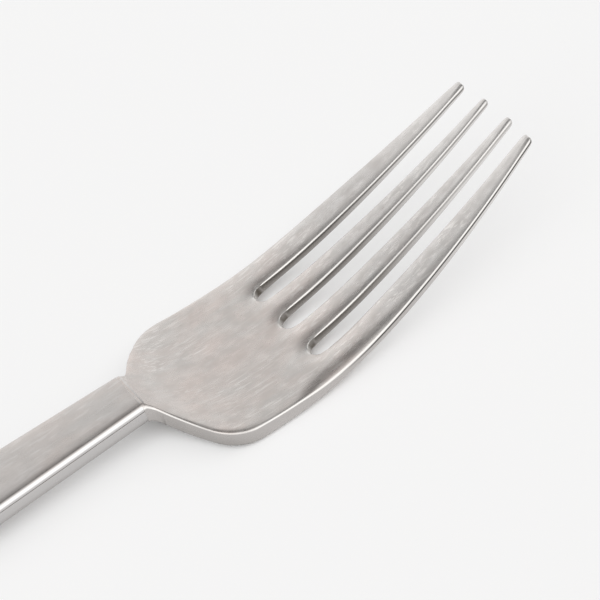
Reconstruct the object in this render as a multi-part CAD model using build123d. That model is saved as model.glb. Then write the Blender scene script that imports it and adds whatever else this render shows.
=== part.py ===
from build123d import *
import math
import os

os.makedirs("parts", exist_ok=True)

# Handle, seen from above: straight sides that widen towards the end
handle_length = 138.6
handle_mouth_width = 6.9
handle_end_width = 18.2
handle_corner_radius = 4.0

# Handle, seen from the side: a thin lid brazed on a shallow tray
handle_thickness = 3.45
lid_thickness = 0.9
lid_edge_radius = 0.8
seam_thickness = 0.1
tray_wall = 0.8
tray_floor = 0.8
tray_edge_radius = 0.5

# Braze between the handle mouth and the head
neck_braze_length = 0.45
neck_width = 7.6

# Tang of the head, bedded in the filler of the handle
tang_length = 45.0
tang_width = 4.0
tang_thickness = 1.1
tang_cover = 0.25

# Head, seen from above
head_reach = 57.85
head_width = 25.76
neck_angle = 32.0
neck_run = 1.2
shoulder_angle = 58.7
neck_radius = 3.0
shoulder_radius = 6.0
widest_at = 13.5
outer_tine_tip_edge = 8.03
outer_tine_lean = 10.8
outer_tine_reach = 14.5

# Slots between the tines, as distances from the centre line
slot_root_at = 20.9
slot_root_reach = 3.0
tine_tip_reach = 14.0
middle_slot_radius = 1.62
middle_slot_tip_edge = 2.15
middle_slot_lean = 2.4
outer_slot_centre = 6.64
outer_slot_radius = 1.45
inner_tine_tip_edge = 3.18
inner_tine_lean = -3.6
outer_slot_tip_edge = 6.71
outer_slot_lean = -3.1
outer_tine_setback = 0.3
tip_corner_radius = 0.46

# Head, seen from the side: depth of its top below the top of the handle, and its thickness there
neck_depth = 0.1
neck_thickness = 3.3
slope_at = 3.13
slope_depth = 2.57
slope_thickness = 2.7
heel_at = 6.98
heel_depth = 4.09
heel_thickness = 2.6
belly_at = 13.3
belly_depth = 4.91
belly_thickness = 2.4
root_depth = 4.73
root_thickness = 1.85
sweep_at = 35.45
sweep_depth = 1.69
sweep_thickness = 1.45
tip_rise = 6.24
tip_thickness = 0.9
tip_slope = 24.0
tip_spare = 4.0

# Rounding of the edges of the head
head_top_radius = 0.27
head_under_radius = 0.25


def slab(face, low, high):
    return extrude(Pos(0, 0, low) * face, high - low, dir=(0, 0, 1))


def toward(degrees):
    return (math.cos(math.radians(degrees)), math.sin(math.radians(degrees)))


def handle_plan(inset):
    lean = math.atan2((handle_end_width - handle_mouth_width) / 2, handle_length)
    front = -neck_braze_length
    rear = front - handle_length + inset
    front_half = handle_mouth_width / 2 - inset / math.cos(lean)
    rear_half = handle_end_width / 2 - inset / math.cos(lean) - inset * math.tan(lean)
    corners = [(front, front_half), (rear, rear_half), (rear, -rear_half), (front, -front_half)]
    face = make_face(Polyline(*corners, close=True))
    return fillet(face.vertices().group_by(Axis.X)[0], handle_corner_radius - inset)


def neck_section(width):
    face = Pos(0, -handle_thickness / 2) * Rectangle(width, handle_thickness)
    face = fillet(face.vertices().group_by(Axis.Y)[-1], lid_edge_radius)
    return fillet(face.vertices().group_by(Axis.Y)[0], tray_edge_radius)


def slot_side(root, tip, lean):
    lean_x, lean_y = toward(lean)
    leave = (root[0] + slot_root_reach, root[1])
    arrive = (tip[0] - tine_tip_reach * lean_x, tip[1] - tine_tip_reach * lean_y)
    return Bezier(root, leave, arrive, tip)


def head_plan():
    half = head_width / 2
    neck_half = neck_width / 2
    bend_x = neck_run * toward(neck_angle)[0]
    bend_y = neck_half + neck_run * toward(neck_angle)[1]
    corner_x = bend_x + (half - bend_y) / math.tan(math.radians(shoulder_angle))
    root_x = slot_root_at + outer_slot_radius
    middle_x = slot_root_at + middle_slot_radius
    outer_end = head_reach - outer_tine_setback
    low = outer_slot_centre - outer_slot_radius
    high = outer_slot_centre + outer_slot_radius
    shoulder = FilletPolyline(
        (0, neck_half),
        (bend_x, bend_y),
        (corner_x, half),
        (widest_at, half),
        radius=(neck_radius, shoulder_radius),
    )
    lean_x, lean_y = toward(-outer_tine_lean)
    outer_edge = Bezier(
        (widest_at, half),
        (widest_at + outer_tine_reach, half),
        (outer_end - outer_tine_reach * lean_x, outer_tine_tip_edge - outer_tine_reach * lean_y),
        (outer_end, outer_tine_tip_edge),
    )
    outer_tip = Line((outer_end, outer_tine_tip_edge), (outer_end, outer_slot_tip_edge))
    outer_inside = slot_side((root_x, high), (outer_end, outer_slot_tip_edge), outer_slot_lean)
    slot_end = ThreePointArc((root_x, high), (slot_root_at, outer_slot_centre), (root_x, low))
    inner_outside = slot_side((root_x, low), (head_reach, inner_tine_tip_edge), inner_tine_lean)
    inner_tip = Line((head_reach, inner_tine_tip_edge), (head_reach, middle_slot_tip_edge))
    inner_inside = slot_side(
        (middle_x, middle_slot_radius), (head_reach, middle_slot_tip_edge), middle_slot_lean
    )
    outer_lines = shoulder + outer_edge + outer_tip + outer_inside
    side = outer_lines + slot_end + inner_outside + inner_tip + inner_inside
    middle_end = ThreePointArc(
        (middle_x, middle_slot_radius), (slot_root_at, 0), (middle_x, -middle_slot_radius)
    )
    rear = Line((0, -neck_half), (0, neck_half))
    face = make_face(side + middle_end + mirror(side, about=Plane.XZ) + rear)
    tips = face.vertices().filter_by_position(Axis.X, outer_end - 0.01, head_reach + 0.01)
    return fillet(tips, tip_corner_radius)


def head_profile():
    stations = [
        (slope_at, -slope_depth, slope_thickness),
        (heel_at, -heel_depth, heel_thickness),
        (belly_at, -belly_depth, belly_thickness),
        (slot_root_at, -root_depth, root_thickness),
        (sweep_at, -sweep_depth, sweep_thickness),
        (head_reach, tip_rise, tip_thickness),
        (head_reach + tip_spare, tip_rise + tip_spare * math.tan(math.radians(tip_slope)), tip_thickness),
    ]
    start = (0, -neck_depth)
    finish = (0, -neck_depth - neck_thickness)
    top = Spline(start, *[(x, z) for x, z, thickness in stations])
    under = []
    for x, z, thickness in stations:
        along = top.tangent_at((x, z))
        under.append((x + along.Y * thickness, z - along.X * thickness))
    bottom = Spline(finish, *under)
    return make_face(top + Line(top @ 1, under[-1]) + bottom + Line(start, finish))


# Heights inside the handle, down from the top face of the lid
lid_under = -lid_thickness
tray_top = lid_under - seam_thickness
tray_under = -handle_thickness
pocket_floor = tray_under + tray_floor
outline = handle_plan(0)
pocket = handle_plan(tray_wall)
mouth = -neck_braze_length

# Head with its tines, palm, shoulders and tang
blank = slab(head_plan(), -handle_thickness - belly_depth - belly_thickness, tip_rise + tip_thickness)
band = extrude(Plane.XZ.offset(-head_width) * head_profile(), 2 * head_width, dir=(0, -1, 0))
tang_low = pocket_floor + tang_cover
tang_outline = Pos(-tang_length / 2, 0) * Rectangle(tang_length, tang_width)
tang = slab(tang_outline, tang_low, tang_low + tang_thickness)
head = (blank & band).solid()
under_face, top_face = head.faces().sort_by(SortBy.AREA)[-2:].sort_by(Axis.Z)
top_edges = top_face.edges().filter_by(lambda edge: edge.center().X > 0.01)
under_edges = under_face.edges().filter_by(lambda edge: edge.center().X > 0.01)
under_middles = [edge.center() for edge in under_edges]
head = fillet(top_edges, head_top_radius)
under_edges = [
    edge for edge in head.edges() if min((edge.center() - middle).length for middle in under_middles) < 0.05
]
head = fillet(under_edges, head_under_radius)
fork_head = head + tang

# Thin braze plate between the head and the mouth of the handle, with the tang passing through
mouth_section = Plane.YZ.offset(mouth) * neck_section(handle_mouth_width)
head_section = Plane.YZ * neck_section(neck_width)
plate = loft([mouth_section, head_section])
neck_braze = plate - tang

# Lid of the handle, rounded along its top edge
lid = slab(outline, lid_under, 0)
lid_edges = lid.faces().sort_by(Axis.Z)[-1].edges().filter_by(lambda edge: edge.center().X < mouth - 0.01)
handle_lid = fillet(lid_edges, lid_edge_radius)

# Tray of the handle, open at the mouth and rounded along its bottom edge
tray = slab(outline, tray_under, tray_top)
tray_edges = tray.faces().sort_by(Axis.Z)[0].edges().filter_by(lambda edge: edge.center().X < mouth - 0.01)
tray = fillet(tray_edges, tray_edge_radius)
handle_tray = tray - slab(pocket, pocket_floor, tray_top)

# Braze along the rim between the lid and the tray
seam_braze = slab(outline - pocket, tray_top, lid_under)

# Filler that beds the tang inside the handle
handle_filler = slab(pocket, pocket_floor, lid_under) - tang

# The fork rests on its belly and on the end of its handle
drop = belly_depth + belly_thickness - handle_thickness
tilt = math.degrees(math.atan2(drop, handle_length + neck_braze_length + belly_at))
nodes = {
    "fork_head": fork_head,
    "neck_braze": neck_braze,
    "handle_lid": handle_lid,
    "handle_tray": handle_tray,
    "seam_braze": seam_braze,
    "handle_filler": handle_filler,
}
tilted = {name: (Rot(0, -tilt, 0) * shape).solid() for name, shape in nodes.items()}
boxes = [shape.bounding_box() for shape in tilted.values()]
middle = (min(box.min.X for box in boxes) + max(box.max.X for box in boxes)) / 2
place = Pos(-middle, 0, -min(box.min.Z for box in boxes))
for name, shape in tilted.items():
    export_step(place * shape, "parts/" + name + ".step")
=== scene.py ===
import math
import bpy
import numpy as np
from mathutils import Matrix, Vector, kdtree


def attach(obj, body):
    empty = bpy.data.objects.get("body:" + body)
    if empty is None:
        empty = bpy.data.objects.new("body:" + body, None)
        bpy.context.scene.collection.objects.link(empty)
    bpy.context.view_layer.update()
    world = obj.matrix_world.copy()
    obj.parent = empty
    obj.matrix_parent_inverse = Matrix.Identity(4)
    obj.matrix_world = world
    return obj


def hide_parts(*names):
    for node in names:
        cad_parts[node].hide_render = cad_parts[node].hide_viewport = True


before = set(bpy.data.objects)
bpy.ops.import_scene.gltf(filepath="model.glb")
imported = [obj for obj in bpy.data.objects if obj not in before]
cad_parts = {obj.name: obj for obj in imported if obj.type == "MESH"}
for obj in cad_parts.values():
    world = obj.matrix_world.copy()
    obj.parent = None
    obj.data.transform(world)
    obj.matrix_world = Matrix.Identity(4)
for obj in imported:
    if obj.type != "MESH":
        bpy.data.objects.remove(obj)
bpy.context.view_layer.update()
scene = bpy.context.scene
bpy.ops.object.select_all(action="DESELECT")
print("frame loaded:", sorted(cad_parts))

# camera, fitted to the photograph: metres and degrees
cameraView = {
    "target": (0.06514, 0.00028, 0.00443),
    "azimuth": -18.49,
    "elevation": 41.95,
    "roll": -19.7,
    "distance": 0.350,
    "lens": 167.18,
    "sensor": 36.0,
    "clip": (0.01, 20),
}


def placeCamera(view):
    turn = math.radians(view["azimuth"])
    lift = math.radians(view["elevation"])
    roll = math.radians(view["roll"])
    out = math.cos(lift)
    back = Vector((math.sin(turn) * out, -math.cos(turn) * out, math.sin(lift)))
    level = Vector((0, 0, 1)).cross(back).normalized()
    upright = back.cross(level)
    right = level * math.cos(roll) + upright * math.sin(roll)
    up = back.cross(right)
    bpy.ops.object.camera_add()
    camera = bpy.context.object
    camera.name = "photoCamera"
    camera.data.sensor_width = view["sensor"]
    camera.data.lens = view["lens"]
    camera.data.clip_start, camera.data.clip_end = view["clip"]
    spin = Matrix((right, up, back)).transposed().to_4x4()
    place = Vector(view["target"]) + back * view["distance"]
    camera.matrix_world = Matrix.Translation(place) @ spin
    scene.camera = camera


placeCamera(cameraView)
print("camera placed")


def feed(tree, socket, value):
    # a number or colour is set on the socket, an output is linked to it
    if isinstance(value, (int, float, tuple)):
        socket.default_value = value
    else:
        tree.links.new(value, socket)


def addMath(tree, operation, first, second, clamp=False):
    node = tree.nodes.new("ShaderNodeMath")
    node.operation = operation
    node.use_clamp = clamp
    feed(tree, node.inputs[0], first)
    feed(tree, node.inputs[1], second)
    return node.outputs["Value"]


def addTimes(tree, first, second):
    return addMath(tree, "MULTIPLY", first, second)


def addSpan(tree, value, low, high, toLow=0.0, toHigh=1.0):
    span = tree.nodes.new("ShaderNodeMapRange")
    span.inputs["From Min"].default_value = low
    span.inputs["From Max"].default_value = high
    span.inputs["To Min"].default_value = toLow
    span.inputs["To Max"].default_value = toHigh
    tree.links.new(value, span.inputs["Value"])
    return span.outputs["Result"]


def addBlend(tree, share, first, second, kind="MIX"):
    # a colour mix node has its share, two colours and result at sockets 0, 6, 7 and 2
    mix = tree.nodes.new("ShaderNodeMix")
    mix.data_type = "RGBA"
    mix.blend_type = kind
    feed(tree, mix.inputs[0], share)
    feed(tree, mix.inputs[6], first)
    feed(tree, mix.inputs[7], second)
    return mix.outputs[2]


# soft studio: the arcs grade the world from the far side (0) over the top to the near side (1)
studioLook = {
    "floorSize": 3.0,
    "floorColour": (0.93, 0.925, 0.92, 1),
    "floorRoughness": 0.9,
    "floorSpecular": 0.1,
    "paleColour": (0.92, 0.92, 0.92, 1),
    "paleShare": 0.6,
    "contactReach": 0.012,
    "contactSpan": (0.12, 0.36),
    "contactSamples": 8,
    "skyStrength": 1.0,
    "skyArc": (
        (0.0, 1.06), (0.13, 1.06), (0.235, 0.93), (0.27, 0.85), (0.31, 0.3), (0.39, 0.2),
        (0.45, 0.45), (0.5, 0.72), (0.57, 0.95), (0.63, 1.2), (0.92, 1.2), (1.0, 1.0),
    ),
    "sideSpan": (-0.4, 0.8),
    "sideLevel": (1.2, 0.88),
    "fillArc": (
        (0.0, 0.16), (0.3, 0.37), (0.48, 0.94), (0.62, 1.78), (0.73, 1.99), (0.82, 0.52),
        (1.0, 0.05),
    ),
    "keyPlace": (0.28, 0.34, 0.5),
    "keyAim": (0.06, 0, 0),
    "keySize": 0.45,
    "keyPower": 0.15,
}


def makeFloor(look):
    bpy.ops.mesh.primitive_plane_add(size=look["floorSize"])
    floor = bpy.context.object
    floor.name = "paleFloor"
    paint = bpy.data.materials.new("paleFloor")
    paint.use_nodes = True
    tree = paint.node_tree
    shader = tree.nodes["Principled BSDF"]
    shader.inputs["Base Color"].default_value = look["floorColour"]
    shader.inputs["Roughness"].default_value = look["floorRoughness"]
    shader.inputs["Specular IOR Level"].default_value = look["floorSpecular"]
    pale = tree.nodes.new("ShaderNodeEmission")
    pale.inputs["Color"].default_value = look["paleColour"]
    path = tree.nodes.new("ShaderNodeLightPath")
    seen = addMath(tree, "MAXIMUM", path.outputs["Is Camera Ray"], path.outputs["Is Glossy Ray"])
    # the shadow stays dark where the fork closes off the floor
    contact = tree.nodes.new("ShaderNodeAmbientOcclusion")
    contact.samples = look["contactSamples"]
    contact.inputs["Distance"].default_value = look["contactReach"]
    clear = addSpan(tree, contact.outputs["AO"], *look["contactSpan"])
    shown = addTimes(tree, addTimes(tree, seen, look["paleShare"]), clear)
    blend = tree.nodes.new("ShaderNodeMixShader")
    tree.links.new(shown, blend.inputs["Fac"])
    tree.links.new(shader.outputs["BSDF"], blend.inputs[1])
    tree.links.new(pale.outputs["Emission"], blend.inputs[2])
    tree.links.new(blend.outputs["Shader"], tree.nodes["Material Output"].inputs["Surface"])
    floor.data.materials.append(paint)


def addArc(tree, stops, share):
    arc = tree.nodes.new("ShaderNodeValToRGB")
    ramp = arc.color_ramp
    ramp.interpolation = "EASE"
    for spot, level in stops[1:-1]:  # the first and last stop are there already
        ramp.elements.new(spot)
    for element, (spot, level) in zip(ramp.elements, stops):
        element.color = (level, level, level, 1)
    tree.links.new(share, arc.inputs["Fac"])
    return arc.outputs["Color"]


def makeSky(look):
    sky = bpy.data.worlds.new("softStudio")
    scene.world = sky
    sky.use_nodes = True
    tree = sky.node_tree
    place = tree.nodes.new("ShaderNodeTexCoord")
    parts = tree.nodes.new("ShaderNodeSeparateXYZ")
    tree.links.new(place.outputs["Generated"], parts.inputs["Vector"])
    angle = addMath(tree, "ARCTAN2", parts.outputs["Z"], parts.outputs["Y"])
    share = addMath(tree, "DIVIDE", angle, math.pi)
    # a little brighter on the handle's side
    side = addSpan(tree, parts.outputs["X"], *look["sideSpan"], *look["sideLevel"])
    graded = addBlend(tree, 1, addArc(tree, look["skyArc"], share), side, "MULTIPLY")
    # metal sees the graded arc, the floor a fill from above, the camera a pale backdrop
    path = tree.nodes.new("ShaderNodeLightPath")
    fill = addArc(tree, look["fillArc"], share)
    seen = addBlend(tree, path.outputs["Is Glossy Ray"], fill, graded)
    shown = addBlend(tree, path.outputs["Is Camera Ray"], seen, look["paleColour"])
    background = tree.nodes["Background"]
    tree.links.new(shown, background.inputs["Color"])
    background.inputs["Strength"].default_value = look["skyStrength"]


def makeKey(look):
    # broad lamp behind on the left, for the soft shadow on the near right side
    bpy.ops.object.light_add(type="AREA", location=look["keyPlace"])
    key = bpy.context.object
    key.name = "softKey"
    key.data.shape = "DISK"
    key.data.size = look["keySize"]
    key.data.energy = look["keyPower"]
    aim = Vector(look["keyAim"]) - Vector(look["keyPlace"])
    key.rotation_euler = aim.to_track_quat("-Z", "Y").to_euler()
    key.visible_glossy = False


makeFloor(studioLook)
makeSky(studioLook)
makeKey(studioLook)
scene.view_settings.view_transform = "Standard"
print("floor and light made")

# the handle's own line in the fork's frame: mm and degrees
forkLine = {
    "place": (40.646, 0.0, 6.987),
    "tilt": 1.4513,
}


def settle(x, y, z):
    # from mm in the handle's line to metres in the fork's frame
    tilt = math.radians(forkLine["tilt"])
    return (
        (forkLine["place"][0] + x * math.cos(tilt) - z * math.sin(tilt)) / 1000,
        y / 1000,
        (forkLine["place"][2] + x * math.sin(tilt) + z * math.cos(tilt)) / 1000,
    )


def unsettle(spot):
    tilt = math.radians(forkLine["tilt"])
    along = spot.x * 1000 - forkLine["place"][0]
    up = spot.z * 1000 - forkLine["place"][2]
    return (
        along * math.cos(tilt) + up * math.sin(tilt),
        spot.y * 1000,
        up * math.cos(tilt) - along * math.sin(tilt),
    )


def settlePiece(piece):
    for vertex in piece.data.vertices:
        vertex.co = settle(*vertex.co)
    piece.data.update()


def rise(value, low, high):
    # 0 at low, 1 at high, held outside
    return np.clip((value - low) / (high - low), 0, 1)


def pick(piece, kind, chosen):
    # selects what the test takes, nothing else, and stays in edit mode
    bpy.ops.object.mode_set(mode="EDIT")
    bpy.ops.mesh.select_mode(type=kind)
    bpy.ops.mesh.select_all(action="DESELECT")
    bpy.ops.object.mode_set(mode="OBJECT")
    mesh = piece.data
    for part in {"VERT": mesh.vertices, "EDGE": mesh.edges, "FACE": mesh.polygons}[kind]:
        part.select = bool(chosen(part))
    bpy.ops.object.mode_set(mode="EDIT")


def edgeEnds(piece, edge):
    return [piece.data.vertices[index].co for index in edge.vertices]


# marks for the finish and for the painted shade and painted highlights, shared by the pieces
markSpans = {
    "openFace": (0.3125, 0.9375),  # upward or downward share of the normal
    # where the painted highlight sits on the rounded edge
    "rolledFrom": (30, 45),  # degrees from upright
    "rolledTo": (80, 60),
    # how the painted shade rises round the lower edge and on the flat underside
    "lowEdge": (0.05, -0.55),  # upward share of the normal
    "lowLevel": 0.6,
    "flatBelow": -0.97,
    "flatLevel": 0.3,
    "mouthFace": 0.95,
}


def shownNormals(piece):
    # normals without the flat end that faces the tips, which is hidden on the pieces of the handle
    limit = markSpans["mouthFace"]
    normals = [vertex.normal.copy() for vertex in piece.data.vertices]
    mouth = [face for face in piece.data.polygons if face.normal.x > limit]
    rim = {index for face in mouth for index in face.vertices}
    for index in rim:
        normals[index] = Vector()
    for face in piece.data.polygons:
        for index in face.vertices:
            if face.normal.x < limit and index in rim:
                normals[index] += face.normal
    return [normal.normalized() for normal in normals]


def markFaces(piece):
    # 1 on faces that look up or down, 0 on upright walls
    marks = piece.data.attributes.new("openFace", "FLOAT", "POINT")
    for index, normal in enumerate(shownNormals(piece)):
        marks.data[index].value = rise(abs(normal.z), *markSpans["openFace"])


def markEdgeHighlight(piece):
    # painted highlight: 1 in the middle of the rounding along the top edge
    marks = piece.data.attributes.new("edgeHighlight", "FLOAT", "POINT")
    for index, normal in enumerate(shownNormals(piece)):
        lean = math.degrees(math.acos(min(1, max(-1, normal.z))))
        near = rise(lean, *markSpans["rolledFrom"]) * rise(lean, *markSpans["rolledTo"])
        marks.data[index].value = near


def markUnderShade(piece):
    # painted shade: rises round the lower edge, less on the flat underside
    marks = piece.data.attributes.new("underShade", "FLOAT", "POINT")
    for index, normal in enumerate(shownNormals(piece)):
        level = rise(normal.z, *markSpans["lowEdge"]) * markSpans["lowLevel"]
        flat = normal.z <= markSpans["flatBelow"]
        marks.data[index].value = markSpans["flatLevel"] if flat else level


# head of the fork: mm along the handle's line, as in the solid model, pairs are x and value
headForm = {
    # outline
    "start": -0.44,
    "reach": 57.848,
    "half": 12.88,
    "neckHalf": 3.5,
    "neckAngle": 8.0,
    "neckRun": 0.63,
    "neckRadius": 1.3,
    "shoulderAngle": 58.7,
    "shoulderRadius": 6.0,
    "widestAt": 13.5,
    "outerTip": (57.55, 8.03, -10.8, 14.5, 14.5),  # x, y, lean, pull at the start and the tip
    "slotRoot": 20.9,
    "middleSlot": (0.0, 1.62),  # middle and half width
    "outerSlot": (6.64, 1.45),
    "slotSides": ((57.85, 2.15, 2.4), (57.85, 3.18, -3.6), (57.55, 6.71, -3.1)),  # x, y, lean
    "slotReach": (3.0, 14.0),
    "tipShares": (0.98, 0.76),
    # this fork's own unevenness: far side of the neck, sides of the tines, left tine
    "neckShift": (
        (-0.44, 0.62), (0.4, 0.48), (0.9, 0.36), (1.4, 0.46), (2.25, 0.85), (3.6, 0.68),
        (4.5, 0.2), (5.4, 0.0),
    ),
    "sideShifts": (0.0, 0.36, -0.18, 0.08, -0.05, 0.04, -0.1, 0.2),  # right to left
    "tineWiden": ((24, 0.0), (30, 0.5), (40, 0.95), (48, 1.0), (57.85, 0.85)),
    "leftBend": 0.5,
    # side curve: x, height of the top, thickness
    "stations": (
        (0.0, -0.1, 3.3), (3.13, -2.57, 2.7), (6.98, -4.09, 2.6), (13.3, -4.91, 2.4),
        (20.9, -4.73, 1.85), (35.45, -1.69, 1.45), (57.85, 6.24, 0.9), (61.5, 7.87, 0.9),
    ),
    # fall of the top and underside towards their edges, and how far in it starts
    "crown": (
        (0, 0.36), (2.5, 0.2), (6, 0.13), (9, 0.1), (10.5, 0.03), (14, 0.03), (17, 0.1),
        (20.5, 0.22), (27, 0.18), (35, 0.07), (44, 0.02), (55, 0.02), (57.85, 0.14),
    ),
    "crownLift": 0.4,
    "liftSpan": (4, 10),
    "liftEnd": 8,
    "roll": (
        (0, 0.9), (6, 0.8), (10, 0.9), (13, 1.5), (20.5, 1.95), (27, 1.7), (35, 1.1),
        (48, 0.7), (57.85, 0.5),
    ),
    "nearFrom": (14, 18),  # where the near tine begins, along and across
    "nearSide": (-5.2, -8.1),
    "nearCrown": ((15, 0.0), (19, 0.2), (26, 0.2), (34, 0.04), (42, 0.0)),
    "nearRoll": 0.2,
    "underCrown": (
        (0, 0.5), (1.5, 0.4), (3, 0.3), (8, 0.4), (13, 0.6), (20.5, 0.4), (30, 0.25),
        (57.4, 0.1),
    ),
    "underRoll": ((0, 1.6), (13, 2.4), (20.5, 1.7), (36, 1.3), (57.4, 0.5)),
    # grid of the plate
    "tineCells": 8,
    "slotCells": 10,
    "rowStep": 0.4,
    "columnDraw": ((0, 0.4), (6, 0.8), (9, 1.0), (26, 1.0), (40, 0.45), (57.85, 0.35)),
    "squeeze": 12.0,
    "squeezePower": 1.5,
    # rounded edges
    "sharpFrom": 40,
    "edge": 0.00023,
    "edgeRounds": 4,
    "slotEdge": ((0, 0.25), (0.5, 0.3), (3, 1.0)),
    "slotZone": (0.5, 1.0),  # how far before and beside the slots
    "endZone": 0.1,
    "endEdge": 0.02,
    # marks for the finish, and for the painted shade, painted highlights, painted dark reflection
    # line, painted light at the tips and painted glints
    "tineSplits": (-5.6, 0.0, 5.6),
    "steepGain": 1.15,
    "slotLead": 2.0,
    "insideSpan": (0.4, 1.4),
    # painted shade on the slot walls: its share at the wall's foot and its strength along the head
    "lowWallShade": 0.5,
    "slotShadeAlong": ((20.5, 1.0), (30, 0.9), (38, 0.6), (46, 0.2), (57.85, 0.0)),
    # painted light on the walls and tops near the tips
    "wallLitAlong": ((34, 0.0), (48, 1.0)),
    "topLitAlong": ((42, 0.0), (52, 0.4)),
    # painted highlight along the right edges: its width, the lean it needs, its strength along the
    # head and by tine
    "edgeWidths": 1.3,
    "edgeUp": 0.2,
    "edgeHighlightAlong": ((0, 1.0), (3.5, 1.0), (5, 0.2), (8, 0.2), (9.5, 1.0), (40, 1.0), (57.85, 0.8)),
    "highlightByTine": (0.85, 0.4, 0.4, 0.5),
    "highlightFade": ((26, 0.0), (38, 1.0)),
    # painted dark reflection line just below the right edges
    "dropReach": 0.5,
    "noDrop": (-1, 5),  # above and below the dark line
    "darkReflectionAlong": ((22, 0.0), (28, 1.0)),
    "reflectionByTine": (1.0, 0.35, 0.55, 0.75),
    # painted shade under the neck: where it turns under, and its strength along the head
    "underTurn": (0.15, -0.35),
    "underShade": ((0, 0.3), (2, 0.9), (6, 0.9), (11, 0.0)),
    "tineCool": ((23, 0.0), (35, 1.0)),
    # painted glints at the slot ends
    "glint": (0.25, 0.45, 0.95),  # ahead of the slot's root, aside, radius
    "glintUp": -0.2,
}


def toward(degrees):
    return np.array((math.cos(math.radians(degrees)), math.sin(math.radians(degrees))))


def readAlong(stops, x):
    return np.interp(x, [stop[0] for stop in stops], [stop[1] for stop in stops])


def curveHeight(corners, x, halvings=40):
    # height of a four-point curve where it passes x
    corners = np.array(corners, float)
    low, high = 0.0, 1.0
    for turn in range(halvings):
        t = (low + high) / 2
        point = corners[0] * (1 - t) ** 3 + corners[1] * 3 * t * (1 - t) ** 2
        point = point + corners[2] * 3 * t * t * (1 - t) + corners[3] * t ** 3
        low, high = (t, high) if point[0] < x else (low, t)
    return point[1]


def outerHalf(form, x):
    # half width of the head: neck, shoulder, then the long outer edge of the outer tine
    half, inRadius, outRadius = form["half"], form["neckRadius"], form["shoulderRadius"]
    neck, shoulder = toward(form["neckAngle"]), toward(form["shoulderAngle"])
    bend = np.array((0, form["neckHalf"])) + form["neckRun"] * neck
    corner = bend + (half - bend[1]) / shoulder[1] * shoulder
    turnIn = math.radians(form["shoulderAngle"] - form["neckAngle"]) / 2
    turnOut = math.radians(form["shoulderAngle"]) / 2
    startIn = bend - neck * inRadius * math.tan(turnIn)
    endIn = bend + shoulder * inRadius * math.tan(turnIn)
    startOut = corner - shoulder * outRadius * math.tan(turnOut)
    endOut = corner[0] + outRadius * math.tan(turnOut)
    if x < startIn[0]:
        return form["neckHalf"] + x * neck[1] / neck[0]
    if x < endIn[0]:
        centre = startIn + inRadius * np.array((-neck[1], neck[0]))
        return centre[1] - math.sqrt(inRadius ** 2 - (x - centre[0]) ** 2)
    if x < startOut[0]:
        return endIn[1] + (x - endIn[0]) * shoulder[1] / shoulder[0]
    if x < endOut:
        return half - outRadius + math.sqrt(outRadius ** 2 - (endOut - x) ** 2)
    if x < form["widestAt"]:
        return half
    tipX, tipY, lean, leave, arrive = form["outerTip"]
    back = toward(lean) * arrive
    start = (form["widestAt"], half)
    pulls = (start[0] + leave, half), (tipX - back[0], tipY - back[1])
    return curveHeight((start, *pulls, (tipX, tipY)), x)


def slotEdges(form, x):
    # slot sides left of the middle line: inner tine inside, inner tine outside, outer tine inside
    middle, outer = form["middleSlot"], form["outerSlot"]
    roots = (middle[0] + middle[1], outer[0] - outer[1], outer[0] + outer[1])
    starts = (middle[1], outer[1], outer[1])
    edges = []
    for root, start, (tipX, tipY, lean) in zip(roots, starts, form["slotSides"]):
        rootX = form["slotRoot"] + start
        back = toward(lean) * form["slotReach"][1]
        pulls = (rootX + form["slotReach"][0], root), (tipX - back[0], tipY - back[1])
        corners = ((rootX, root), *pulls, (tipX, tipY))
        edges.append(root if x <= rootX else curveHeight(corners, x))
    return edges


def smoothLine(points, steps=60):
    # a curve with even bending through the points, as close x and z
    points = np.array(points, float)
    count = len(points)
    lengths = np.linalg.norm(np.diff(points, axis=0), axis=1)
    gaps = np.diff(np.concatenate(([0], np.cumsum(lengths))))
    system = np.zeros((count, count))
    right = np.zeros((count, 2))
    system[0, :2] = (1, -1)
    system[-1, -2:] = (1, -1)
    for i in range(1, count - 1):
        before, after = gaps[i - 1], gaps[i]
        system[i, i - 1:i + 2] = (before, 2 * (before + after), after)
        right[i] = 6 * ((points[i + 1] - points[i]) / after - (points[i] - points[i - 1]) / before)
    bends = np.linalg.solve(system, right)
    fine = []
    for i, gap in enumerate(gaps):
        for t in np.linspace(0, gap, steps, endpoint=i == count - 2):
            place = (bends[i] * (gap - t) ** 3 + bends[i + 1] * t ** 3) / (6 * gap)
            place = place + (points[i] / gap - bends[i] * gap / 6) * (gap - t)
            place = place + (points[i + 1] / gap - bends[i + 1] * gap / 6) * t
            fine.append(place)
    return np.array(fine).T


def headRows(form):
    rootX = form["slotRoot"] + form["outerSlot"][1]
    nearCount = int((rootX - form["start"]) / form["rowStep"]) + 1
    farCount = int((form["reach"] - rootX) / form["rowStep"]) + 1
    near = np.linspace(form["start"], rootX, nearCount)
    far = np.linspace(rootX, form["reach"], farCount)
    return np.concatenate((near, far[1:])), nearCount - 1


def headColumns(form, x, rootX):
    # sideways places of one row of the grid, from the right outer edge to the left one
    width = outerHalf(form, min(x, form["outerTip"][0]))
    inner, middle, outer = slotEdges(form, x)
    if x < rootX:
        share = width / outerHalf(form, rootX)
        inner, middle, outer = inner * share, middle * share, outer * share
    edges = np.array((-width, -outer, -middle, -inner, inner, middle, outer, width))
    edges = edges + readAlong(form["tineWiden"], x) * np.array(form["sideShifts"])
    edges[-1] += readAlong(form["neckShift"], x)
    spots = [edges[0]]
    for index, (low, high) in enumerate(zip(edges, edges[1:])):
        inSlot = index % 2
        cells = form["slotCells"] if inSlot else form["tineCells"]
        for step in range(1, cells + 1):
            share = step / cells
            if inSlot:
                share = 0.5 - 0.5 * math.cos(math.pi * share)
            elif step < cells:
                share = 0.5 + (share - 0.5) * readAlong(form["columnDraw"], x)
            spots.append(low + (high - low) * share)
    return spots


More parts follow.
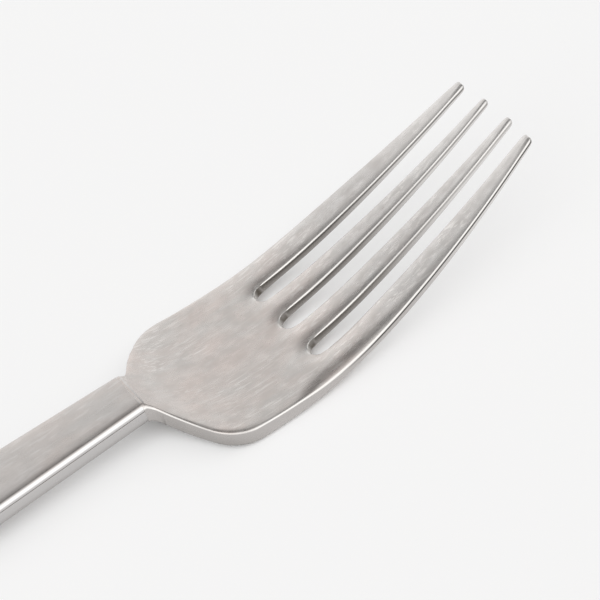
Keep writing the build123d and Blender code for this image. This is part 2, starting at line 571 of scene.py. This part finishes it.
def layOutHead(form):
    # the plate's grid in mm, the cells that the slots take out, and where the slots run straight
    rows, rootRow = headRows(form)
    rootX = rows[rootRow]
    ys = np.array([headColumns(form, x, rootX) for x in rows])
    columnCount = ys.shape[1]
    xs = np.repeat(rows[:, None], columnCount, axis=1)
    tine, slot = form["tineCells"], form["slotCells"]
    tineStarts = [index * (tine + slot) for index in range(4)]
    slotStarts = [start + tine for start in tineStarts[:3]]
    radii = (form["outerSlot"][1], form["middleSlot"][1], form["outerSlot"][1])
    fade = np.clip(1 - (rootX - rows) / form["squeeze"], 0, 1) ** form["squeezePower"]
    fade[rootRow + 1:] = 0
    gone = np.zeros((len(rows) - 1, columnCount - 1), bool)
    for start, radius in zip(slotStarts, radii):  # round slot ends
        gone[rootRow:, start:start + slot] = True
        low, high = ys[rootRow, start], ys[rootRow, start + slot]
        for column in range(start, start + slot + 1):
            offset = (ys[rootRow, column] - (low + high) / 2) / ((high - low) / 2)
            xs[:, column] -= radius * math.sqrt(max(0, 1 - offset ** 2)) * fade
    tail = rows > rootX
    shorter = (form["outerTip"][0] - rootX) / (form["reach"] - rootX)
    for start in (tineStarts[0], tineStarts[3]):  # outer tines end a little earlier
        for column in range(start, start + tine + 1):
            xs[tail, column] = rootX + (rows[tail] - rootX) * shorter
    for row, share in zip((-2, -1), form["tipShares"]):  # blunt round tips
        for start in tineStarts:
            band = ys[row, start:start + tine + 1]
            centre = (band[0] + band[-1]) / 2
            ys[row, start:start + tine + 1] = centre + (band - centre) * share
    bend = rise(rows, form["slotRoot"], form["reach"]) ** 2
    ys[:, tineStarts[3]:] += form["leftBend"] * bend[:, None]  # the left tine is bent out a little
    return xs, ys, gone, rootX


def findRim(gone):
    # grid points along the sides, round the slots and at the tips
    lastRow, lastColumn = gone.shape
    rim = []
    for i in range(lastRow + 1):
        for j in range(lastColumn + 1):
            cells = [(a, b) for a in (i - 1, i) for b in (j - 1, j)]
            around = [gone[a, b] for a, b in cells if 0 <= a < lastRow and 0 <= b < lastColumn]
            outside = j in (0, lastColumn) or i == lastRow
            if not all(around) and (any(around) or outside):
                rim.append((i, j))
    return rim


def headHeights(form, x, y, away):
    # top and underside of the plate, both falling off towards the edges
    tops = [(spot, height) for spot, height, thickness in form["stations"]]
    lineX, lineZ = smoothLine(tops)
    leans = np.interp([spot for spot, height in tops], lineX, np.gradient(lineZ, lineX))
    unders = [(0, tops[0][1] - form["stations"][0][2])]
    for (spot, height, thickness), lean in list(zip(form["stations"], leans))[1:]:
        length = math.hypot(1, lean)
        unders.append((spot + lean / length * thickness, height - thickness / length))
    nearTine = rise(x, *form["nearFrom"]) * rise(y, *form["nearSide"])
    crown = readAlong(form["crown"], x) + nearTine * readAlong(form["nearCrown"], x)
    roll = readAlong(form["roll"], x) + nearTine * form["nearRoll"]
    lift = form["crownLift"] * rise(x, *form["liftSpan"])
    lift = lift * np.clip((form["reach"] - x) / form["liftEnd"], 0, 1)
    topZ = np.interp(x, lineX, lineZ) - crown * (np.clip(1 - away / roll, 0, 1) ** 2 - lift)
    underFall = np.clip(1 - away / readAlong(form["underRoll"], x), 0, 1) ** 2
    underZ = np.interp(x, *smoothLine(unders)) + readAlong(form["underCrown"], x) * underFall
    return topZ, underZ


def roundHeadEdges(head, form, rootX):
    # sharp edges get the rounding, less of it round the slot ends and none at the hidden back end
    mesh = head.data
    bpy.ops.object.mode_set(mode="EDIT")
    bpy.ops.mesh.select_mode(type="EDGE")
    bpy.ops.mesh.select_all(action="DESELECT")
    bpy.ops.mesh.edges_select_sharp(sharpness=math.radians(form["sharpFrom"]))
    bpy.ops.object.mode_set(mode="OBJECT")
    weights = mesh.attributes.new("bevel_weight_edge", "FLOAT", "EDGE")
    before, beside = form["slotZone"]
    slotSide = sum(form["outerSlot"]) + beside
    for edge in mesh.edges:
        first, second = edgeEnds(head, edge)
        middle = (first + second) * 500  # half the sum, in mm
        along = middle.x - forkLine["place"][0]
        weight = 0 if along < form["start"] + form["endZone"] or not edge.select else 1
        if along > form["slotRoot"] - before and abs(middle.y) < slotSide:
            weight = weight * readAlong(form["slotEdge"], along - rootX)
        weights.data[edge.index].value = weight
    rounded = head.modifiers.new("roundedEdges", "BEVEL")
    rounded.limit_method = "WEIGHT"
    rounded.width = form["edge"]
    rounded.segments = form["edgeRounds"]
    rounded.use_clamp_overlap = False
    bpy.ops.object.modifier_apply(modifier=rounded.name)
    bpy.ops.object.shade_smooth()
    # the hidden back end stays sharp, so that the walls meet the handle evenly
    limit = form["start"] + form["endEdge"]
    for edge in mesh.edges:
        edge.use_edge_sharp = all(unsettle(end)[0] < limit for end in edgeEnds(head, edge))


def markHead(head, form, tree, rimTop):
    # painted shade on the walls inside the slots and under the neck, painted highlights and a
    # painted dark reflection line along the edges, painted light at the tips, painted glints at
    # the slot ends, and the tines' cooler tone, each for its part of the finish
    markFaces(head)
    mesh = head.data
    labels = (
        "slotWallShade", "edgeHighlight", "edgeDrop", "edgeDarkReflection", "slotGlint", "tipLight", "tineCool",
        "underShade",
    )
    for label in labels:
        mesh.attributes.new(label, "FLOAT", "POINT")
    marks = {label: mesh.attributes[label].data for label in labels}
    ahead, aside, glintRadius = form["glint"]
    glintX = form["slotRoot"] + ahead
    glintYs = [side * form["outerSlot"][0] + aside for side in (-1, 0, 1)]
    edgeSpan = form["edge"] * 1000 * form["edgeWidths"]
    for vertex in mesh.vertices:
        x, y, z = unsettle(vertex.co)
        normal = vertex.normal
        facesUp, facesRight = normal.z > 0, normal.y < 0
        nearest, distance = tree.find((x, y, 0))[1:]
        tine = sum(y > split for split in form["tineSplits"])
        steep = 1 - min(1, abs(normal.z) * form["steepGain"])
        inside = 0
        if x > form["slotRoot"] - form["slotLead"]:
            room = outerHalf(form, min(x, form["outerTip"][0])) - abs(y)
            inside = rise(room, *form["insideSpan"])
        depth = 1 if facesUp else form["lowWallShade"]
        shine = 0
        if normal.z > form["edgeUp"] and facesRight:
            byTine = readAlong(form["highlightFade"], x) * (form["highlightByTine"][tine] - 1)
            shine = readAlong(form["edgeHighlightAlong"], x) * (1 + byTine)
        drop = form["noDrop"][0 if facesUp else 1]
        if distance < form["dropReach"]:
            drop = rimTop[nearest] - z  # mm below the top edge
        dark = readAlong(form["darkReflectionAlong"], x) * form["reflectionByTine"][tine]
        litTop = readAlong(form["topLitAlong"], x) if facesUp else 0
        glint = min(math.hypot(x - glintX, y - glintY) for glintY in glintYs)
        under = rise(normal.z, *form["underTurn"])
        values = {
            "slotWallShade": steep * inside * depth * readAlong(form["slotShadeAlong"], x),
            "edgeHighlight": max(0, 1 - distance / edgeSpan) * shine,
            "edgeDrop": drop,
            "edgeDarkReflection": dark if facesRight else 0,
            "slotGlint": max(0, 1 - glint / glintRadius) if normal.z > form["glintUp"] else 0,
            "tipLight": max(litTop, steep * readAlong(form["wallLitAlong"], x)),
            "tineCool": readAlong(form["tineCool"], x),
            "underShade": under * readAlong(form["underShade"], x),
        }
        for label, value in values.items():
            marks[label][vertex.index].value = value


def makeHead(form):
    xs, ys, gone, rootX = layOutHead(form)
    rim = findRim(gone)
    tree = kdtree.KDTree(len(rim))
    for index, (i, j) in enumerate(rim):
        tree.insert((xs[i, j], ys[i, j], 0), index)
    tree.balance()
    flatX, flatY = xs.ravel(), ys.ravel()
    away = np.array([tree.find((x, y, 0))[2] for x, y in zip(flatX, flatY)])  # from the edge
    topZ, underZ = headHeights(form, flatX, flatY, away)

    # a grid plate, the slots cut, drawn down to its underside, then shaped to the head
    rowCells, columnCells = gone.shape
    bpy.ops.object.select_all(action="DESELECT")
    bpy.ops.mesh.primitive_grid_add(x_subdivisions=rowCells, y_subdivisions=columnCells, size=1)
    head = bpy.context.object
    head.name = "forkHead"
    head.data.name = "forkHead"
    mesh = head.data
    for vertex in mesh.vertices:
        i, j = round((vertex.co.x + 0.5) * rowCells), round((vertex.co.y + 0.5) * columnCells)
        vertex.co = (i, j, 0)
    pick(head, "FACE", lambda face: gone[int(face.center.x), int(face.center.y)])
    bpy.ops.mesh.delete(type="FACE")
    bpy.ops.mesh.select_all(action="SELECT")
    bpy.ops.mesh.extrude_region_move(TRANSFORM_OT_translate={"value": (0, 0, -1)})
    bpy.ops.mesh.select_all(action="SELECT")
    bpy.ops.mesh.normals_make_consistent(inside=False)
    bpy.ops.object.mode_set(mode="OBJECT")
    for vertex in mesh.vertices:
        spot = round(vertex.co.x) * (columnCells + 1) + round(vertex.co.y)
        height = topZ[spot] if vertex.co.z > -0.5 else underZ[spot]
        vertex.co = settle(flatX[spot], flatY[spot], height)
    mesh.update()
    roundHeadEdges(head, form, rootX)
    markHead(head, form, tree, [topZ[i * (columnCells + 1) + j] for i, j in rim])
    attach(head, "root")
    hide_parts("fork_head")
    print("head made:", len(mesh.polygons), "faces")
    return head


forkHead = makeHead(headForm)

# handle: mm in the same line, from the mouth at the neck back to the broad end
handleForm = {
    "mouthAt": -0.45,
    "endAt": -139.05,
    "mouthHalf": 3.45,
    "farShift": 0.68,  # the far side of the mouth is wider
    "endHalf": 9.1,
    "cornerRadius": 4.0,
    "cornerSteps": 12,
    "edgeSteps": 8,
    "mouthRun": 4.0,
    "smoothAngle": 35,
}
lidForm = {
    "name": "handleLid",
    "node": "handle_lid",
    "slot": "handle_steel",
    "top": -0.18,
    "under": -0.9,
    "inset": 0.0,
    "topEdge": 0.66,
    "underEdge": 0.04,
    "crown": ((1.25, 0.13), (1.2, 0.04)),  # width and rise of the rings inside the top edge
}
trayForm = {
    "name": "handleTray",
    "node": "handle_tray",
    "slot": "handle_steel",
    "top": -1.0,
    "under": -3.45,
    "inset": 0.0,
    "topEdge": 0.05,
    "underEdge": 1.5,
    "crown": (),
}
seamForm = {
    "name": "handleSeam",
    "node": "seam_braze",
    "slot": "seam_braze_metal",
    "top": -0.9,
    "under": -1.0,
    "inset": 0.06,
    "topEdge": 0.0,
    "underEdge": 0.0,
    "crown": (),
}


def pickRim(piece, height, near=1e-3):
    # the edges at one height, apart from those across the mouth
    mouth = max(vertex.co.x for vertex in piece.data.vertices)

    def onRim(edge):
        ends = edgeEnds(piece, edge)
        level = all(abs(end.z - height) < near for end in ends)
        return level and not all(abs(end.x - mouth) < near for end in ends)

    pick(piece, "EDGE", onRim)


def pickTop(piece, near=1e-4):
    highest = max(face.center.z for face in piece.data.polygons)
    pick(piece, "FACE", lambda face: face.normal.z > 0.9 and face.center.z > highest - near)


def makeBar(form, bar):
    # a tapered plate, rounded at its broad end, drawn down to its thickness, edges rolled
    inset = bar["inset"]
    mouthAt, endAt = form["mouthAt"], form["endAt"] + inset
    bpy.ops.object.select_all(action="DESELECT")
    bpy.ops.mesh.primitive_plane_add(size=2)
    piece = bpy.context.object
    piece.name = bar["name"]
    piece.data.name = bar["name"]
    for vertex in piece.data.vertices:
        front = vertex.co.x > 0
        half = (form["mouthHalf"] if front else form["endHalf"]) - inset
        if front and vertex.co.y > 0:
            half += form["farShift"]
        y = math.copysign(half, vertex.co.y)
        vertex.co = (mouthAt if front else endAt, y, bar["top"])
    pick(piece, "VERT", lambda vertex: vertex.co.x < (mouthAt + endAt) / 2)
    bpy.ops.mesh.bevel(
        offset=form["cornerRadius"] - inset,
        offset_type="OFFSET",
        segments=form["cornerSteps"],
        affect="VERTICES",
    )
    bpy.ops.mesh.select_all(action="SELECT")
    down = (0, 0, bar["under"] - bar["top"])
    bpy.ops.mesh.extrude_region_move(TRANSFORM_OT_translate={"value": down})
    bpy.ops.mesh.select_all(action="SELECT")
    bpy.ops.mesh.normals_make_consistent(inside=False)
    bpy.ops.object.mode_set(mode="OBJECT")
    for width, lift in bar["crown"]:
        pickTop(piece)
        bpy.ops.mesh.inset(thickness=width, depth=0)
        bpy.ops.transform.translate(value=(0, 0, lift))
        bpy.ops.object.mode_set(mode="OBJECT")
    for vertex in piece.data.vertices:  # the crown runs straight on to the mouth
        if vertex.co.x > mouthAt - form["mouthRun"]:
            vertex.co.x = mouthAt
    for height, radius in ((bar["top"], bar["topEdge"]), (bar["under"], bar["underEdge"])):
        if radius:
            pickRim(piece, height)
            bpy.ops.mesh.bevel(
                offset=radius, offset_type="OFFSET", segments=form["edgeSteps"], affect="EDGES"
            )
            bpy.ops.object.mode_set(mode="OBJECT")
    settlePiece(piece)
    bpy.ops.object.shade_smooth_by_angle(angle=math.radians(form["smoothAngle"]))
    even = piece.modifiers.new("evenNormals", "WEIGHTED_NORMAL")
    even.keep_sharp = True
    bpy.ops.object.modifier_apply(modifier=even.name)
    markFaces(piece)
    # painted highlight along the lid's rolled top edge, painted shade round the lower edge of the
    # tray and seam
    if bar["crown"]:
        markEdgeHighlight(piece)
    else:
        markUnderShade(piece)
    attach(piece, "root")
    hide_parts(bar["node"])
    return piece


handleLid = makeBar(handleForm, lidForm)
handleTray = makeBar(handleForm, trayForm)
handleSeam = makeBar(handleForm, seamForm)

# smoothed braze between the mouth of the handle and the head: mm in the same line
neckForm = {
    "back": (-0.47, 3.38, -0.05, -3.2),  # x, half width, top, under
    "front": (0.1, 3.38, -0.1, -3.2),
    "farShift": 0.62,
    "bulge": 1.002,
    "fall": 0.12,
    "fallPower": 4,
    "middleZ": -1.7,
    "upperZ": -1.0,
    "topEdge": 0.8,
    "underEdge": 0.8,
    "edgeSteps": 6,
    "ringCuts": 3,
    "lengthwise": 0.3,
    "sideFrom": 3.3,
    "smoothAngle": 50,
}


def makeNeck(form):
    bpy.ops.object.select_all(action="DESELECT")
    bpy.ops.mesh.primitive_cube_add(size=2)
    piece = bpy.context.object
    piece.name = "neckBraze"
    piece.data.name = "neckBraze"
    for vertex in piece.data.vertices:
        x, half, top, under = form["front"] if vertex.co.x > 0 else form["back"]
        if vertex.co.y > 0:
            half += form["farShift"]
        vertex.co = (x, math.copysign(half, vertex.co.y), top if vertex.co.z > 0 else under)

    def runsAlong(edge):
        first, second = edgeEnds(piece, edge)
        return abs(first.x - second.x) > form["lengthwise"]

    def atCorner(edge, upper):
        first, second = edgeEnds(piece, edge)
        wide = min(abs(first.y), abs(second.y)) > form["sideFrom"]
        sameSide = abs(first.y - second.y) < 1
        return wide and sameSide and (first.z > form["upperZ"]) == upper and runsAlong(edge)

    for upper, radius in ((True, form["topEdge"]), (False, form["underEdge"])):
        pick(piece, "EDGE", lambda edge: atCorner(edge, upper))
        bpy.ops.mesh.bevel(
            offset=radius, offset_type="OFFSET", segments=form["edgeSteps"], affect="EDGES"
        )
        bpy.ops.object.mode_set(mode="OBJECT")
    pick(piece, "EDGE", runsAlong)  # rings round the middle, raised a little
    bpy.ops.mesh.subdivide(number_cuts=form["ringCuts"])
    bpy.ops.object.mode_set(mode="OBJECT")
    backX, frontX, middleZ = form["back"][0], form["front"][0], form["middleZ"]
    for vertex in piece.data.vertices:
        share = rise(vertex.co.x, backX, frontX)
        swell = 1 + (form["bulge"] - 1) * math.sin(math.pi * share)
        vertex.co.y *= swell
        vertex.co.z = middleZ + (vertex.co.z - middleZ) * swell
        if vertex.co.z > form["upperZ"]:
            half = form["front"][1] + (form["farShift"] if vertex.co.y > 0 else 0)
            vertex.co.z -= form["fall"] * (abs(vertex.co.y) / half) ** form["fallPower"]
    settlePiece(piece)
    bpy.ops.object.shade_smooth_by_angle(angle=math.radians(form["smoothAngle"]))
    markFaces(piece)
    # painted highlight along the rounded top edges
    markEdgeHighlight(piece)
    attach(piece, "root")
    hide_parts("neck_braze")
    return piece


neckPiece = makeNeck(neckForm)
print("handle made")


def newGroup(name, inputs, outputs):
    group = bpy.data.node_groups.new(name, "ShaderNodeTree")
    for label, kind, value in inputs:
        socket = group.interface.new_socket(name=label, in_out="INPUT", socket_type=kind)
        if value is not None:
            socket.default_value = value
    for label, kind in outputs:
        group.interface.new_socket(name=label, in_out="OUTPUT", socket_type=kind)
    return group, group.nodes.new("NodeGroupInput"), group.nodes.new("NodeGroupOutput")


def addNoise(tree, place, turn, stretch, detail=2.0, rough=0.55, warp=0.0):
    # noise in strokes: stretch gives how many per metre each way, turn the way they run
    mapping = tree.nodes.new("ShaderNodeMapping")
    mapping.inputs["Rotation"].default_value = (0, 0, math.radians(turn))
    mapping.inputs["Scale"].default_value = stretch
    tree.links.new(place, mapping.inputs["Vector"])
    noise = tree.nodes.new("ShaderNodeTexNoise")
    noise.inputs["Scale"].default_value = 1.0
    noise.inputs["Detail"].default_value = detail
    noise.inputs["Roughness"].default_value = rough
    noise.inputs["Distortion"].default_value = warp
    tree.links.new(mapping.outputs["Vector"], noise.inputs["Vector"])
    return noise.outputs["Fac"]


# fine scratches from use, in four directions, thinned out by a broad cloud
scratchLook = {
    "layers": (  # turn, strokes per metre along and across, level where a scratch begins
        (14, 260, 2100, 0.62), (-27, 300, 2300, 0.63), (52, 330, 2200, 0.63),
        (-4, 130, 3000, 0.64),
    ),
    "layerNoise": (1.0, 0.5, 0.15),
    "layerSpan": 0.07,
    "cloud": (0, (130, 170, 170), 2.0),
    "cloudSpan": (0.42, 0.6, 0.15, 1.0),
}


def makeScratches(look):
    group, start, end = newGroup(
        "useScratches",
        (("Place", "NodeSocketVector", None), ("Amount", "NodeSocketFloat", 1.0)),
        (("Scratches", "NodeSocketFloat"),),
    )
    place = start.outputs["Place"]
    total = None
    for turn, along, across, low in look["layers"]:
        noise = addNoise(group, place, turn, (along, across, across), *look["layerNoise"])
        line = addSpan(group, noise, low, low + look["layerSpan"])
        total = line if total is None else addMath(group, "MAXIMUM", total, line)
    cloud = addSpan(group, addNoise(group, place, *look["cloud"]), *look["cloudSpan"])
    thinned = addTimes(group, total, cloud)
    scaled = addMath(group, "MULTIPLY", thinned, start.outputs["Amount"], True)
    group.links.new(scaled, end.inputs["Scratches"])
    return group


# brushed grain that runs along the fork
grainLook = {
    "fine": (0, (220, 5200, 5200), 3.0),
    "fineShare": 0.6,
    "broad": (3, (70, 1300, 1300), 2.0),
    "broadShare": 0.4,
    "span": (0.3, 0.7),
}


def makeGrain(look):
    group, start, end = newGroup(
        "brushedGrain",
        (("Place", "NodeSocketVector", None),),
        (("Grain", "NodeSocketFloat"),),
    )
    place = start.outputs["Place"]
    fine = addTimes(group, addNoise(group, place, *look["fine"]), look["fineShare"])
    broad = addTimes(group, addNoise(group, place, *look["broad"]), look["broadShare"])
    grain = addMath(group, "ADD", fine, broad)
    group.links.new(addSpan(group, grain, *look["span"]), end.inputs["Grain"])
    return group


# cloudy stain: broad patches, small mottling and scattered dark specks, each noise and span
stainLook = {
    "Patches": ((20, (130, 210, 210), 3.0, 0.6, 0.4), (0.35, 0.65)),
    "Mottle": ((-15, (420, 640, 640), 3.0, 0.6), (0.3, 0.7)),
    "Specks": ((35, (900, 1500, 1500), 1.5), (0.7, 0.77)),
}


def makeStain(look):
    group, start, end = newGroup(
        "cloudyStain",
        (("Place", "NodeSocketVector", None),),
        [(label, "NodeSocketFloat") for label in look],
    )
    for label, (noise, span) in look.items():
        cloud = addSpan(group, addNoise(group, start.outputs["Place"], *noise), *span)
        group.links.new(cloud, end.inputs[label])
    return group


scratchGroup = makeScratches(scratchLook)
grainGroup = makeGrain(grainLook)
stainGroup = makeStain(stainLook)

headSteel = {
    "name": "wornHeadSteelPaintedLight",
    "warm": (0.680, 0.610, 0.575, 1),
    "cool": (0.640, 0.612, 0.588, 1),
    "scratched": (0.86, 0.83, 0.80, 1),
    "stained": (0.44, 0.40, 0.37, 1),
    # painted shade: upright walls darker than the faces
    "wall": (0.54, 0.515, 0.50, 1),
    # painted shade on the slot walls
    "slotWallShade": (0.085, 0.07, 0.05, 1),
    # painted shade under the neck
    "underShadeColour": (0.24, 0.225, 0.21, 1),
    "tine": (0.615, 0.605, 0.595, 1),
    # painted light on the walls and tops near the tips
    "tipLitColour": (0.80, 0.78, 0.76, 1),
    # painted highlight along the edges and painted glints at the slot ends
    "paintedHighlight": (0.95, 0.93, 0.90, 1),
    # painted dark reflection line below the right edges, and where it lies
    "darkReflection": (0.08, 0.075, 0.07, 1),
    "lineStart": (0.11, 0.17),  # mm below the top edge
    "lineEnd": (0.36, 0.5),
    "roughness": (0.22, 0.34),
    "mottle": 0.2,
    "scratches": 0.6,
    "bump": 0.015,
}
handleSteel = {
    "name": "wornHandleSteelPaintedLight",
    "warm": (0.600, 0.552, 0.525, 1),
    "cool": (0.560, 0.537, 0.520, 1),
    "scratched": (0.76, 0.75, 0.74, 1),
    "stained": (0.42, 0.40, 0.38, 1),
    # painted light and shade: upright walls get a colour set to how they are lit
    "wall": (0.58, 0.565, 0.56, 1),
    # painted shade round the lower edges
    "underShadeColour": (0.24, 0.225, 0.21, 1),
    # painted highlight along the rolled top edges
    "paintedHighlight": (0.93, 0.92, 0.91, 1),
    "roughness": (0.18, 0.28),
    "mottle": 0.15,
    "scratches": 0.28,
    "bump": 0.015,
}
neckMetal = dict(
    handleSteel,
    name="paleNeckBraze",
    warm=(0.70, 0.665, 0.645, 1),
    cool=(0.675, 0.66, 0.65, 1),
    roughness=(0.3, 0.4),
)
seamMetal = dict(
    handleSteel,
    name="darkSeamBraze",
    warm=(0.16, 0.15, 0.145, 1),
    cool=(0.13, 0.13, 0.125, 1),
    wall=(0.07, 0.066, 0.063, 1),
    roughness=(0.4, 0.5),
)
# how strongly the worn marks, the painted shade and the painted highlights show in all of them
steelWearAndLight = {
    "tineShare": 0.75,
    "tineSpots": 0.22,
    "specks": 0.35,
    "scratches": 0.8,
    # painted shade in the slots and painted highlight on the edges
    "slotWallShade": 0.9,
    "highlightShare": 0.95,
    "grainRough": 0.3,
    "mottleRough": 0.7,
    "roughSpan": (0.2, 0.8),
    "scratchDepth": 1.5,
}
bumpDepth = 0.00005


def placeGroup(tree, group, place):
    node = tree.nodes.new("ShaderNodeGroup")
    node.node_tree = group
    tree.links.new(place, node.inputs["Place"])
    return node


def addMark(tree, name):
    mark = tree.nodes.new("ShaderNodeAttribute")
    mark.attribute_name = name
    return mark.outputs["Fac"]


def addBump(tree, height, strength):
    bump = tree.nodes.new("ShaderNodeBump")
    bump.inputs["Strength"].default_value = strength
    bump.inputs["Distance"].default_value = bumpDepth
    tree.links.new(height, bump.inputs["Height"])
    return bump.outputs["Normal"]


def newMaterial(name):
    material = bpy.data.materials.new(name)
    material.use_nodes = True
    tree = material.node_tree
    place = tree.nodes.new("ShaderNodeTexCoord").outputs["Object"]
    return material, tree, tree.nodes["Principled BSDF"], place


def addTineColour(tree, finish, wearAndLight, stain, colour):
    # the tines are cooler than the palm and more spotted
    along = addMark(tree, "tineCool")
    colour = addBlend(tree, addTimes(tree, along, wearAndLight["tineShare"]), colour, finish["tine"])
    spots = addTimes(tree, addTimes(tree, along, wearAndLight["tineSpots"]), stain["Mottle"])
    return addBlend(tree, spots, colour, finish["stained"])


def addSlotPaintedLight(tree, finish, wearAndLight, colour):
    # painted shade on the slot walls, painted light on the tips, a painted dark reflection line
    # under the tines' right edges, painted glints at the slot ends
    # painted shade on the slot walls
    wall = addTimes(tree, addMark(tree, "slotWallShade"), wearAndLight["slotWallShade"])
    colour = addBlend(tree, wall, colour, finish["slotWallShade"])
    # painted light near the tips
    colour = addBlend(tree, addMark(tree, "tipLight"), colour, finish["tipLitColour"])
    # painted dark reflection line below the right edges
    drop = addMark(tree, "edgeDrop")
    upper = addSpan(tree, drop, *finish["lineStart"])
    lower = addSpan(tree, drop, *finish["lineEnd"], 1.0, 0.0)
    line = addTimes(tree, addTimes(tree, upper, lower), addMark(tree, "edgeDarkReflection"))
    colour = addBlend(tree, line, colour, finish["darkReflection"])
    # painted glints at the slot ends
    return addBlend(tree, addMark(tree, "slotGlint"), colour, finish["paintedHighlight"])


def makeSteel(finish, wearAndLight):
    material, tree, shader, place = newMaterial(finish["name"])
    shader.inputs["Metallic"].default_value = 1
    scratches = placeGroup(tree, scratchGroup, place)
    scratches.inputs["Amount"].default_value = finish["scratches"]
    grain = placeGroup(tree, grainGroup, place).outputs["Grain"]
    stain = placeGroup(tree, stainGroup, place).outputs
    face = addMark(tree, "openFace")
    lines = addTimes(tree, scratches.outputs["Scratches"], face)
    colour = addBlend(tree, stain["Patches"], finish["cool"], finish["warm"])
    if "tine" in finish:
        colour = addTineColour(tree, finish, wearAndLight, stain, colour)
    mottle = addTimes(tree, stain["Mottle"], finish["mottle"])
    colour = addBlend(tree, mottle, colour, finish["stained"])
    specks = addTimes(tree, stain["Specks"], addTimes(tree, face, wearAndLight["specks"]))
    colour = addBlend(tree, specks, colour, finish["stained"])
    bright = addTimes(tree, lines, wearAndLight["scratches"])
    colour = addBlend(tree, bright, colour, finish["scratched"])
    # upright walls take a colour of their own: painted shade on the head, painted light and shade
    # on the handle and neck, the dark joint colour on the seam
    colour = addBlend(tree, face, finish["wall"], colour)
    # painted shade under the neck and round the lower edges
    colour = addBlend(tree, addMark(tree, "underShade"), colour, finish["underShadeColour"])
    # painted shade, light and dark reflection in and near the slots
    if "slotWallShade" in finish:
        colour = addSlotPaintedLight(tree, finish, wearAndLight, colour)
    # painted highlight along the edges
    highlightShare = addTimes(tree, addMark(tree, "edgeHighlight"), wearAndLight["highlightShare"])
    colour = addBlend(tree, highlightShare, colour, finish["paintedHighlight"])
    tree.links.new(colour, shader.inputs["Base Color"])
    grainRough = addTimes(tree, grain, wearAndLight["grainRough"])
    mottleRough = addTimes(tree, stain["Mottle"], wearAndLight["mottleRough"])
    worn = addMath(tree, "ADD", grainRough, mottleRough)
    rough = addSpan(tree, worn, *wearAndLight["roughSpan"], *finish["roughness"])
    tree.links.new(rough, shader.inputs["Roughness"])
    cuts = addTimes(tree, lines, wearAndLight["scratchDepth"])
    relief = addMath(tree, "SUBTRACT", addTimes(tree, grain, face), cuts)
    tree.links.new(addBump(tree, relief, finish["bump"]), shader.inputs["Normal"])
    return material


fillerResin = {
    "name": "castFiller",
    "pale": (0.47, 0.44, 0.40, 1),
    "deep": (0.40, 0.37, 0.33, 1),
    "roughness": (0.6, 0.8),
    "bump": 0.2,
}


def makeResin(finish):
    material, tree, shader, place = newMaterial(finish["name"])
    stain = placeGroup(tree, stainGroup, place).outputs
    colour = addBlend(tree, stain["Patches"], finish["deep"], finish["pale"])
    rough = addSpan(tree, stain["Mottle"], 0.0, 1.0, *finish["roughness"])
    tree.links.new(colour, shader.inputs["Base Color"])
    tree.links.new(rough, shader.inputs["Roughness"])
    tree.links.new(addBump(tree, stain["Mottle"], finish["bump"]), shader.inputs["Normal"])
    return material


handleFinish = makeSteel(handleSteel, steelWearAndLight)
finishes = {
    "fork_head": makeSteel(headSteel, steelWearAndLight),
    "handle_lid": handleFinish,
    "handle_tray": handleFinish,
    "handle_filler": makeResin(fillerResin),
    "neck_braze": makeSteel(neckMetal, steelWearAndLight),
    "seam_braze": makeSteel(seamMetal, steelWearAndLight),
}
dressed = {
    "fork_head": forkHead,
    "handle_lid": handleLid,
    "handle_tray": handleTray,
    "neck_braze": neckPiece,
    "seam_braze": handleSeam,
}
for name, finish in finishes.items():
    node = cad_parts[name]
    for index in range(len(node.data.materials)):
        node.data.materials[index] = finish
    if name in dressed:  # the new piece that stands for the node
        dressed[name].data.materials.clear()
        dressed[name].data.materials.append(finish)
print("finishes made")
